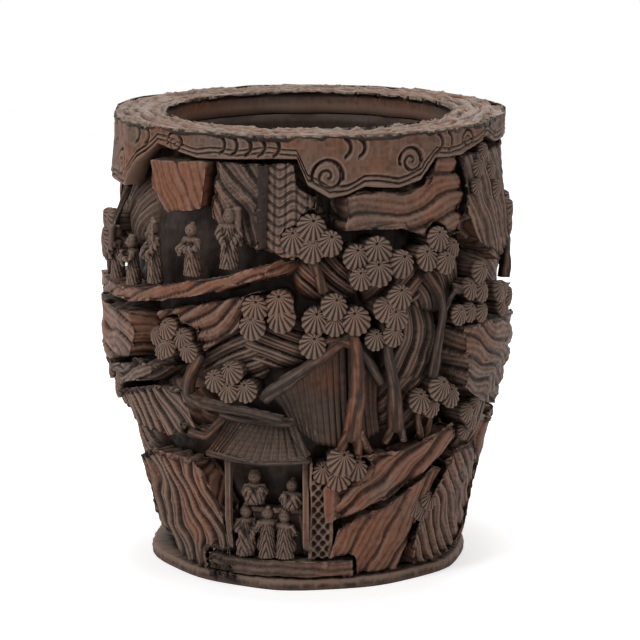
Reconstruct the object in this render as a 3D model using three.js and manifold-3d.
// A bamboo brush pot, carved all round with a mountain landscape: pines, a pavilion with seated scholars,
// and a line of walkers on a ledge. Millimetres, +Z up. The scene with the pavilion faces -Y.
// Each carved element is its own solid. They are cut from one culm on the real pot, so each is clipped by
// the culm's old outer surface and by the hollowed ground behind it, with a small gap to its neighbours.
import * as THREE from "three";
import { mergeVertices } from "three/addons/utils/BufferGeometryUtils.js";
import Module from "manifold-3d";

const wasm = await Module();
wasm.setup();

// Driving dimensions of the culm
const POT_HEIGHT = 160;
const RIM_RADIUS = 70;
const SHOULDER_RADIUS = 71.5;
const BELLY_RADIUS = 75;
const CRAG_RADIUS = 62.5;
const FOOT_RADIUS = 57;
const MOUTH_RADIUS = 50;
const FLOOR_RADIUS = 42;

// How deep the ground is cut back behind the relief, and the pieces that close the pot
const RELIEF_DEPTH = 14;
const FOOT_RELIEF = 9;
const CRAG_RELIEF = 12;
const RIM_DEPTH = 9;
const LAPPET_THICKNESS = 9;
const FOOT_THICKNESS = 3.6;
const FLOOR_THICKNESS = 6;
const FLOOR_LIP_WIDTH = 3;
const FLOOR_LIP_DEPTH = 4;
const RIM_LOBE = 1;
const FOOT_LOBE = 0.8;

// Sizes of what repeats in the landscape
const FAN_ROOT = 1;
const FAN_TAPER = 0.8;
const FIGURE_WIDTH = 6;
const FIGURE_DEPTH = 5;
const HEAD_RADIUS = 2.1;
const POST_WIDTH = 2.4;

// Gap between two pieces that touch on the real pot
const GAP = 0.3;

// Fineness of the facets, and the size under which two corners are one
const CHIP = 4e-3;
const CULM_SIDES = 28;
const RIM_SIDES = 56;
const FAN_SIDES = 8;
const LIMB_SIDES = 6;
const LIMB_STEPS = 6;

// The landscape's heights are laid out on a pot this tall, and stretch with it
const LAYOUT_HEIGHT = 160;
const up = (height) => (height * POT_HEIGHT) / LAYOUT_HEIGHT;
const radians = THREE.MathUtils.degToRad;

// Finishes
function finish(colour, roughness) {
  return new THREE.MeshStandardMaterial({ color: colour, roughness, metalness: 0 });
}
const GROUND = finish(0x241812, 0.75);
const ROCK = finish(0x5a4034, 0.6);
const WORN = finish(0x7c452c, 0.5);
const PINE = finish(0x66503f, 0.65);
const FIGURE = finish(0x5f493e, 0.6);
const RIM = finish(0x76594a, 0.6);

// The culm's old outer surface: radius at a height, on straight runs between a few stations
const STATIONS = [
  [0, FOOT_RADIUS],
  [up(28), CRAG_RADIUS],
  [up(75), BELLY_RADIUS],
  [up(112), BELLY_RADIUS],
  [up(140), SHOULDER_RADIUS],
  [POT_HEIGHT, RIM_RADIUS],
];

function between(stations, height) {
  const last = stations.length - 1;
  if (height <= stations[0][0]) return stations[0][1];
  for (let i = 0; i < last; i += 1) {
    const [low, lowRadius] = stations[i];
    const [high, highRadius] = stations[i + 1];
    if (height <= high) return lowRadius + ((highRadius - lowRadius) * (height - low)) / (high - low);
  }
  return stations[last][1];
}

const culmRadius = (height) => between(STATIONS, height);
const DEPTHS = [[0, FOOT_RELIEF], [up(28), CRAG_RELIEF], [up(75), RELIEF_DEPTH]];
const reliefDepth = (height) => between(DEPTHS, height);
const groundRadius = (height) => culmRadius(height) - reliefDepth(height);
const hollowRadius = (height) => between([[0, FLOOR_RADIUS], [up(75), MOUTH_RADIUS]], height);
const HEIGHTS = STATIONS.map(([height]) => height);

// Solids from three.js geometry, and back
function solidOf(geometry, tolerance = 1e-4) {
  const bare = geometry.index ? geometry.toNonIndexed() : geometry.clone();
  bare.deleteAttribute("normal");
  bare.deleteAttribute("uv");
  const merged = mergeVertices(bare, tolerance);
  const corners = [];
  const index = merged.index.array;
  for (let i = 0; i < index.length; i += 3) {
    const [a, b, c] = [index[i], index[i + 1], index[i + 2]];
    if (a !== b && b !== c && c !== a) corners.push(a, b, c);
  }
  const build = (triangles) =>
    new wasm.Manifold(
      new wasm.Mesh({
        numProp: 3,
        vertProperties: new Float32Array(merged.attributes.position.array),
        triVerts: new Uint32Array(triangles),
      }),
    );
  const solid = build(corners);
  return solid.volume() < 0 ? build(corners.reverse()) : solid;
}

function geometryOf(solid) {
  const mesh = solid.getMesh();
  const geometry = new THREE.BufferGeometry();
  geometry.setAttribute("position", new THREE.BufferAttribute(new Float32Array(mesh.vertProperties), 3));
  geometry.setIndex(new THREE.BufferAttribute(new Uint32Array(mesh.triVerts), 1));
  return geometry;
}

const joined = (solids) => solids.reduce((all, next) => all.add(next));

// A place on the pot: x runs round to the right as seen from outside, y up, z straight out
function outwards(angle, height = 0) {
  const turn = radians(angle);
  const right = new THREE.Vector3(Math.cos(turn), Math.sin(turn), 0);
  const above = new THREE.Vector3(0, 0, 1);
  const out = new THREE.Vector3(Math.sin(turn), -Math.cos(turn), 0);
  return new THREE.Matrix4().makeBasis(right, above, out).setPosition(0, 0, height);
}

function pointOn(angle, height, radius) {
  return new THREE.Vector3(0, 0, radius).applyMatrix4(outwards(angle, height));
}

// A turned solid from [radius, height] pairs
function turned(profile, sides = CULM_SIDES) {
  const points = profile.map(([radius, height]) => new THREE.Vector2(radius, height));
  return solidOf(new THREE.LatheGeometry(points, sides).rotateX(Math.PI / 2));
}

const culmCache = new Map();
function culm(sunk) {
  const key = sunk.toFixed(3);
  if (!culmCache.has(key)) {
    const side = HEIGHTS.map((height) => [culmRadius(height) - sunk, height]);
    culmCache.set(key, turned([[0, 0], ...side, [0, POT_HEIGHT]]));
  }
  return culmCache.get(key);
}

// The ground as a filled solid, taken a gap proud, for what stands on it
const groundSide = (grow) => HEIGHTS.map((height) => [groundRadius(height) + grow, height]);
const groundCutter = turned([
  [0, -GAP],
  [groundRadius(0) + GAP, -GAP],
  ...groundSide(GAP),
  [groundRadius(POT_HEIGHT) + GAP, POT_HEIGHT + GAP],
  [0, POT_HEIGHT + GAP],
]);

// An outline moved out by a distance, corner by corner
function widened(outline, distance) {
  if (!distance) return outline;
  const turnsLeft = THREE.ShapeUtils.area(outline.map(([x, y]) => new THREE.Vector2(x, y))) > 0;
  const side = turnsLeft ? 1 : -1;
  return outline.map(([x, y], i) => {
    const before = outline[(i + outline.length - 1) % outline.length];
    const after = outline[(i + 1) % outline.length];
    const edgeIn = new THREE.Vector2(x - before[0], y - before[1]).normalize();
    const edgeOut = new THREE.Vector2(after[0] - x, after[1] - y).normalize();
    const normal = new THREE.Vector2(edgeIn.y + edgeOut.y, -edgeIn.x - edgeOut.x).normalize();
    const share = Math.max(0.5, Math.abs(normal.dot(new THREE.Vector2(edgeIn.y, -edgeIn.x))));
    return [x + (side * normal.x * distance) / share, y + (side * normal.y * distance) / share];
  });
}

// A block with a drawn outline of [angle, height] corners, pushed straight out of the culm.
// sunk is how far its face lies under the old surface, lean tips the face out (positive: top further in).
function block(outline, sunk = 1, lean = 0) {
  const angles = outline.map(([angle]) => angle);
  const heights = outline.map(([, height]) => up(height));
  const middle = (Math.min(...angles) + Math.max(...angles)) / 2;
  const centre = (Math.min(...heights) + Math.max(...heights)) / 2;
  const spread = Math.max(...heights) - Math.min(...heights);
  return (grow) => {
    const flat = outline.map(([angle, height]) => [
      BELLY_RADIUS * Math.sin(radians(angle - middle)),
      up(height),
    ]);
    const shape = new THREE.Shape(widened(flat, grow).map(([x, y]) => new THREE.Vector2(x, y)));
    const start = culmRadius(centre) * 0.45;
    const face = culmRadius(centre) - sunk + grow;
    const depth = lean ? face - start : BELLY_RADIUS;
    const geometry = new THREE.ExtrudeGeometry(shape, { depth, bevelEnabled: false });
    geometry.translate(0, 0, start);
    const place = geometry.attributes.position;
    for (let i = 0; i < place.count; i += 1) {
      const isFace = place.getZ(i) > start + depth / 2;
      if (lean && isFace) place.setZ(i, place.getZ(i) - (lean * (place.getY(i) - centre)) / spread);
    }
    return solidOf(geometry.applyMatrix4(outwards(middle))).intersect(culm(Math.min(sunk, 1) - grow));
  };
}

// A block whose face follows the old surface, sunk under it
function ledge(outline, sunk = 1) {
  const cut = block(outline, 0);
  return (grow) => cut(grow).intersect(culm(sunk - grow));
}

// One needle fan of a pine: a round block that stands straight out of the ground and narrows inwards
function fan(angle, height, radius, sunk, grow) {
  const face = culmRadius(height) - sunk + grow;
  const depth = RELIEF_DEPTH + FAN_ROOT + 2 * grow;
  const disc = new THREE.CylinderGeometry(radius + grow, radius * FAN_TAPER + grow, depth, FAN_SIDES);
  disc.rotateX(Math.PI / 2).translate(0, 0, face - depth / 2);
  return solidOf(disc.applyMatrix4(outwards(angle, height)));
}

// A pine's crown: fans at [right, above, radius] in millimetres from the crown's own centre
function crown(angle, height, fans, sunk = 0.5) {
  const round = THREE.MathUtils.radToDeg(1 / BELLY_RADIUS);
  return (grow) =>
    joined(
      fans.map(([right, above, radius]) =>
        fan(angle + right * round, up(height) + above, radius, sunk, grow),
      ),
    );
}

// A trunk, branch or stem along [angle, height] points, its middle sunk under the old surface
function limb(points, radius, sunk, steps = LIMB_STEPS) {
  return (grow) => {
    const line = new THREE.CatmullRomCurve3(
      points.map(([angle, height]) => pointOn(angle, up(height), culmRadius(up(height)) - sunk)),
    );
    const shape = new THREE.Shape();
    for (let i = 0; i < LIMB_SIDES; i += 1) {
      const turn = (2 * Math.PI * i) / LIMB_SIDES;
      const x = (radius + grow) * Math.cos(turn);
      const y = (radius + grow) * Math.sin(turn);
      if (i === 0) shape.moveTo(x, y);
      else shape.lineTo(x, y);
    }
    return solidOf(new THREE.ExtrudeGeometry(shape, { steps, extrudePath: line, bevelEnabled: false }));
  };
}

// A trunk that ends in spread roots
function rooted(points, radius, sunk, toes) {
  const foot = points[points.length - 1];
  const start = [foot[0], foot[1] + radius];
  const roots = toes.map((toe) => limb([start, toe], radius * 0.75, sunk, 1));
  const limbs = [limb(points, radius, sunk), ...roots];
  return (grow) => joined(limbs.map((make) => make(grow)));
}

// A small robed figure, standing or sitting, with its feet at the height given
function person(angle, height, tall, sunk = 1) {
  return (grow) => {
    const foot = up(height);
    const radius = culmRadius(foot + tall / 2) - sunk - FIGURE_DEPTH / 2;
    const robeTall = tall - HEAD_RADIUS * 1.6;
    const halfWidth = FIGURE_WIDTH / 2 + grow;
    const robe = new THREE.CylinderGeometry(halfWidth * 0.7, halfWidth, robeTall + 2 * grow, 8);
    robe.scale(1, 1, FIGURE_DEPTH / FIGURE_WIDTH).translate(0, robeTall / 2, radius);
    const head = new THREE.SphereGeometry(HEAD_RADIUS + grow, 7, 5);
    head.translate(0, tall - HEAD_RADIUS, radius);
    const place = outwards(angle, foot);
    return solidOf(robe.applyMatrix4(place)).add(solidOf(head.applyMatrix4(place)));
  };
}

// A squared bar between two heights, such as a post
function bar(angle, low, high, width, sunk) {
  return (grow) => {
    const tall = up(high) - up(low) + 2 * grow;
    const post = new THREE.BoxGeometry(width + 2 * grow, tall, width + 2 * grow);
    const radius = culmRadius(up((low + high) / 2)) - sunk - width / 2;
    post.translate(0, (up(low) + up(high)) / 2, radius);
    return solidOf(post.applyMatrix4(outwards(angle)));
  };
}

// The group, and the solids already in it, each a gap larger than it is
const pot = new THREE.Group();
const taken = [];

const meets = (a, b) => [0, 1, 2].every((i) => a.min[i] <= b.max[i] && b.min[i] <= a.max[i]);

// A cut can leave loose chips beside the piece, which a carver sweeps away
function withoutChips(solid) {
  const clean = solidOf(geometryOf(solid), CHIP);
  return clean.decompose().reduce((most, next) => (next.volume() > most.volume() ? next : most));
}

function place(name, material, solid, grown) {
  const mesh = new THREE.Mesh(geometryOf(solid), material);
  mesh.name = name;
  pot.add(mesh);
  taken.push({ solid: grown, box: grown.boundingBox() });
}

// Carves one element of the landscape, clear of the ground and of what was carved before it
function carve(name, material, make) {
  let solid = make(0).intersect(culm(0)).subtract(groundCutter);
  const box = solid.boundingBox();
  for (const other of taken) if (meets(box, other.box)) solid = solid.subtract(other.solid);
  place(name, material, withoutChips(solid), make(GAP));
}

// Vessel: the hollowed culm, its let-in floor, the foot and the rim collar
const WALL_TOP = POT_HEIGHT - RIM_DEPTH - GAP;
const FOOT_TOP = FOOT_THICKNESS;

function lobed(radius, lobe, lobes, turn) {
  const points = [];
  for (let i = 0; i < RIM_SIDES; i += 1) {
    const angle = (2 * Math.PI * i) / RIM_SIDES;
    const reach = radius - lobe * Math.abs(Math.sin((lobes * angle) / 2 + radians(turn)));
    points.push(new THREE.Vector2(reach * Math.cos(angle), reach * Math.sin(angle)));
  }
  return points;
}

function lobedRing(outer, inner, lobe, lobes, thickness) {
  const shape = new THREE.Shape(lobed(outer, lobe, lobes, 0));
  shape.holes.push(new THREE.Path(lobed(inner, lobe, lobes, 90).reverse()));
  return solidOf(new THREE.ExtrudeGeometry(shape, { depth: thickness, bevelEnabled: false }));
}

function culmWall() {
  const side = HEIGHTS.filter((height) => height < WALL_TOP);
  const outside = side.map((height) => [groundRadius(height), height]);
  const overLip = side.filter((height) => height > FLOOR_LIP_DEPTH);
  const inside = overLip.map((height) => [hollowRadius(height), height]);
  return turned([
    [FLOOR_RADIUS - FLOOR_LIP_WIDTH, 0],
    ...outside,
    [groundRadius(WALL_TOP), WALL_TOP],
    [hollowRadius(WALL_TOP), WALL_TOP],
    ...inside.reverse(),
    [hollowRadius(FLOOR_LIP_DEPTH), FLOOR_LIP_DEPTH],
    [FLOOR_RADIUS - FLOOR_LIP_WIDTH, FLOOR_LIP_DEPTH],
    [FLOOR_RADIUS - FLOOR_LIP_WIDTH, 0],
  ]);
}

function floorDisc() {
  const low = FLOOR_LIP_DEPTH + GAP;
  const radius = hollowRadius(low) - GAP;
  return turned([[0, low], [radius, low], [radius, low + FLOOR_THICKNESS], [0, low + FLOOR_THICKNESS]]);
}

// Cloud lappets that hang from the rim, as [angle, height] corners
const LAPPETS = [
  [[-88, 155], [-88, 139], [-78, 136], [-63, 137], [-57, 145], [-50, 155]],
  [[-2, 155], [0, 142], [6, 139], [16, 142], [26, 141], [33, 142], [39, 155]],
  [[112, 155], [114, 142], [124, 138], [136, 141], [146, 138], [152, 144], [154, 155]],
  [[204, 155], [208, 141], [220, 138], [232, 142], [238, 155]],
];

function rimCollar(grow) {
  const ring = lobedRing(RIM_RADIUS + grow, MOUTH_RADIUS - grow, RIM_LOBE, 8, RIM_DEPTH + 2 * grow);
  const collar = ring.translate([0, 0, POT_HEIGHT - RIM_DEPTH - grow]);
  const inner = turned(
    [
      [0, 0],
      [SHOULDER_RADIUS - LAPPET_THICKNESS - grow, 0],
      [SHOULDER_RADIUS - LAPPET_THICKNESS - grow, POT_HEIGHT],
      [0, POT_HEIGHT],
    ],
  );
  const lappets = LAPPETS.map((outline) => ledge(outline, 0)(grow).subtract(inner));
  return joined([collar, ...lappets]);
}

function footPlinth(grow) {
  const ring = lobedRing(FOOT_RADIUS + grow, groundRadius(0) + GAP, FOOT_LOBE, 7, FOOT_TOP + grow);
  return ring.subtract(groundCutter);
}

place("culm_wall", GROUND, culmWall(), groundCutter);
place("let_in_floor", GROUND, floorDisc(), floorDisc());
place("rim_collar", RIM, rimCollar(0), rimCollar(GAP));
place("foot_plinth", ROCK, footPlinth(0), footPlinth(GAP));

// Walkers on the ledge, at upper left: [angle, foot height, how tall]
const WALKERS = [
  [-69, 103.6, 18],
  [-57.5, 103.6, 17],
  [-47.5, 106, 23],
  [-33.5, 110.4, 18],
  [-22, 114, 21],
];
WALKERS.forEach(([angle, foot, tall], i) => carve(`walker_${i + 1}`, FIGURE, person(angle, foot, tall)));

// Pines across the front
carve("high_pine_crown", PINE, crown(1, 125, [[0, 4, 4.7], [-6.4, 0, 4.2], [6.4, -1, 4.2], [0, -3, 4.4]]));
carve(
  "shoulder_pine_crown",
  PINE,
  crown(19, 117, [[0, 4, 4.7], [-7.7, 2, 4.4], [0, -3, 4.7], [9, -1, 4.7], [-6.5, -5, 3.8]]),
);
carve("right_pine_crown", PINE, crown(38, 119, [[0, 4, 4.2], [-5, -2, 4.2], [2.5, -4, 3.9], [6.4, 0, 3.6]]));
carve("far_right_pine_crown", PINE, crown(54, 105, [[0, 4, 3.8], [-5, -1, 3.6], [1, -2.5, 3.8]]));
carve("left_fan_crown", PINE, crown(-11, 100, [[-4, 2, 4.4], [4.3, 3.6, 4.7], [-5, -4, 4.4], [5, -1, 4.7]]));
carve(
  "tall_pine_crown",
  PINE,
  crown(7, 98, [[0, 5, 4.2], [-6.4, 0, 4.6], [7.5, 0, 4.8], [0, -1, 3.8], [-7.5, -8, 4.4]]),
);
carve(
  "twin_pine_crown",
  PINE,
  crown(22, 98, [[4, 7, 4.2], [-1, 3, 4.2], [2.5, 0, 4.2], [-5, -7, 3.5], [1.5, -6, 3.5]]),
);
carve("crag_pine_crown", PINE, crown(38, 69, [[1, 2.5, 4.2], [-7, -1, 4.1], [7, -1, 4], [-1, -4, 3.6]]));
carve(
  "left_pine_crown",
  PINE,
  crown(-40, 88, [[-1.3, 4, 3.6], [-7.3, 0.6, 3.2], [-1.3, -2, 3.6], [5, 1, 3.8], [8, -3, 3.4], [-5, -4, 3.2]]),
);
carve(
  "roof_pine_crown",
  PINE,
  crown(-21, 76, [[-5.8, 0.3, 3.8], [0, 3.5, 3.8], [-1, -3, 3.6], [5.3, -2.5, 3.7]]),
);
carve("low_pine_crown", PINE, crown(10, 45, [[0, 3, 4.7], [6, 0, 4], [-1, -3, 4.2], [-7, -1, 3.6]]));
carve(
  "ledge_pine_crown",
  PINE,
  crown(-82, 117, [[-4, 4, 4.4], [3, 5, 4.2], [-1, -2, 4.6], [-7, -3, 4], [4, -4, 3.6]]),
);

carve(
  "tall_pine_trunk",
  WORN,
  rooted([[13, 94], [13.4, 76], [12.6, 57]], 2.2, 4, [[9.5, 51], [15, 50], [19, 51]]),
);
carve("twin_pine_trunk", ROCK, rooted([[22, 90], [25, 72], [27, 59]], 2, 4.5, [[24, 54], [30, 54]]));
carve("left_pine_trunk", ROCK, limb([[-31, 84], [-35, 70], [-26, 67], [-8, 63]], 1.7, 3));

// Pavilion: floor, posts, roofs, a lattice screen, a cloth-covered table and four scholars
const PAVILION_FLOOR = 11;
const TABLE_TOP = 29;
const EAVE = 48;
carve("pavilion_post_left", ROCK, bar(-26.6, PAVILION_FLOOR + GAP, EAVE, POST_WIDTH, 1));
carve("pavilion_post_right", ROCK, bar(-0.8, PAVILION_FLOOR + GAP, EAVE, POST_WIDTH, 1));
const SCHOLARS = [
  [-22.6, PAVILION_FLOOR + GAP, 18, 2],
  [-19, TABLE_TOP + GAP, 12, 5],
  [-14.2, PAVILION_FLOOR + GAP, 18, 1.5],
  [-8.4, PAVILION_FLOOR + GAP, 17, 1.5],
];
SCHOLARS.forEach(([angle, foot, tall, sunk], i) => {
  carve(`scholar_${i + 1}`, FIGURE, person(angle, foot, tall, sunk));
});
carve(
  "tea_table",
  ROCK,
  ledge([[-21, PAVILION_FLOOR], [-3, PAVILION_FLOOR], [-3, TABLE_TOP], [-21, TABLE_TOP]], 6),
);
carve("lattice_screen", ROCK, ledge([[1, PAVILION_FLOOR], [7.5, PAVILION_FLOOR], [7.5, 42], [1, EAVE]], 2.5));
carve(
  "pavilion_floor",
  ROCK,
  ledge([[-31, FOOT_TOP], [9, FOOT_TOP], [9, PAVILION_FLOOR], [-31, PAVILION_FLOOR]]),
);
carve(
  "front_roof",
  ROCK,
  block([[-26, 64], [-5, 62], [0, 53], [0, EAVE], [-28, EAVE], [-37, 54], [-36, 56], [-29, 55]], 4, 6),
);
carve("rear_roof", ROCK, block([[-12, 71], [11, 92], [21, 76], [23, 57], [13, 52], [1, 53], [-5, 62]], 6, 5));

// Rocks of the front, from the rim down
carve("hanging_boulder", WORN, ledge([[-50, 148], [-50, 139], [-42, 130.5], [-31, 133], [-30, 150]], 1.5));
carve("groove_cliff", ROCK, ledge([[-29, 150], [-29, 130], [-20, 123], [-14, 119], [-14, 150]], 4));
carve("water_columns", ROCK, ledge([[-13.6, 150], [-13.6, 121], [-4, 118], [3, 122], [2.5, 150]], 3));
carve(
  "folded_rock",
  WORN,
  ledge([[12, 140], [11, 127], [28, 126], [38, 121], [47, 123], [49, 137], [46, 150], [14, 150]], 2),
);
carve("leaf_cliff", ROCK, ledge([[50, 150], [50, 134], [56, 118], [66, 109], [77, 115], [80, 150]], 1.5));
carve(
  "walkers_ledge",
  WORN,
  ledge(
    [
      [-96, 101], [-85, 103], [-58, 103.3], [-48, 105.7], [-34, 110], [-22, 113.7],
      [-9, 119], [-12, 112], [-28, 105], [-48, 99], [-60, 97], [-96, 96],
    ],
    0.5,
  ),
);
carve("left_boulder", WORN, ledge([[-100, 94], [-58, 95], [-53, 88], [-57, 78], [-74, 73], [-100, 76]], 0));
carve("cloud_rock", ROCK, ledge([[-47, 97], [-28, 103], [-13, 108], [-18, 95], [-30, 84], [-46, 80]], 4));
carve("leaf_rock", ROCK, ledge([[-92, 68], [-76, 76], [-55, 80], [-45, 78], [-50, 71], [-72, 64]], 0.5));
carve(
  "twisted_rock",
  ROCK,
  ledge([[-76, 62], [-58, 70], [-38, 72], [-36, 56], [-48, 51], [-64, 51], [-74, 56]], 1.5),
);
carve("draped_rock", ROCK, ledge([[47, 92], [62, 92], [92, 88], [96, 64], [80, 54], [62, 60], [50, 68]], 1));
carve(
  "crag_strata",
  WORN,
  ledge([[14, 50], [30, 51], [46, 58], [49, 50], [38, 40], [26, 30], [10, 24], [8, 38]], 1),
);
carve(
  "crag_face",
  WORN,
  ledge([[11, FOOT_TOP], [32, FOOT_TOP], [37.5, 22], [45, 40], [40, 43], [13, 22]], 1.4),
);
carve(
  "finger_rocks",
  ROCK,
  ledge([[51, 47], [62, 47], [70, 38], [70, 12], [62, FOOT_TOP], [44, FOOT_TOP], [42, 20]], 0.5),
);
carve(
  "leaf_rocks_low",
  ROCK,
  ledge([[-66, 40], [-56, 46], [-38, 46], [-33, 30], [-32, FOOT_TOP], [-50, FOOT_TOP], [-64, 18]], 0.5),
);

// The side that the pavilion's back faces: cliffs, two great pines, a path with a walker, and crags
carve("back_walker_1", FIGURE, person(112, 92, 19));
carve(
  "back_pine_crown",
  PINE,
  crown(177, 121, [[-9, 4, 4.8], [0, 6, 5], [8, 3, 4.8], [-5, -3, 4.8], [4, -4, 4.8], [12, -3, 4.2]]),
);
carve(
  "back_twin_crown",
  PINE,
  crown(214, 99, [[-7, 3, 4.8], [1, 5, 4.6], [8, 1, 4.6], [-2, -3, 4.6], [-9, -4, 4.2], [5, -6, 4.2]]),
);
carve(
  "back_pine_trunk",
  WORN,
  rooted([[178, 114], [173, 90], [171, 64]], 2.4, 4, [[166, 57], [172, 55], [177, 57]]),
);
carve("back_cliff", WORN, ledge([[90, 150], [92, 124], [106, 116], [128, 116], [146, 126], [158, 150]], 2));
carve(
  "back_hanging_rock",
  ROCK,
  ledge([[196, 150], [198, 130], [220, 112], [240, 112], [256, 124], [262, 150]], 2),
);
carve(
  "back_path",
  WORN,
  ledge([[97, 96], [118, 91], [150, 86], [160, 82], [152, 66], [128, 74], [104, 72], [99, 86]], 0.5),
);
carve(
  "back_boulder",
  ROCK,
  ledge([[226, 94], [244, 96], [256, 92], [264, 76], [250, 60], [230, 66], [222, 78]], 0),
);
carve(
  "back_crag",
  WORN,
  ledge([[86, 50], [116, 56], [146, 49], [154, 30], [151, FOOT_TOP], [84, FOOT_TOP], [79, 30]], 1),
);
carve(
  "back_low_rocks",
  ROCK,
  ledge([[161, 51], [187, 45], [211, 53], [239, 48], [242, 31], [235, FOOT_TOP], [163, FOOT_TOP]], 1.7),
);

export default pot;
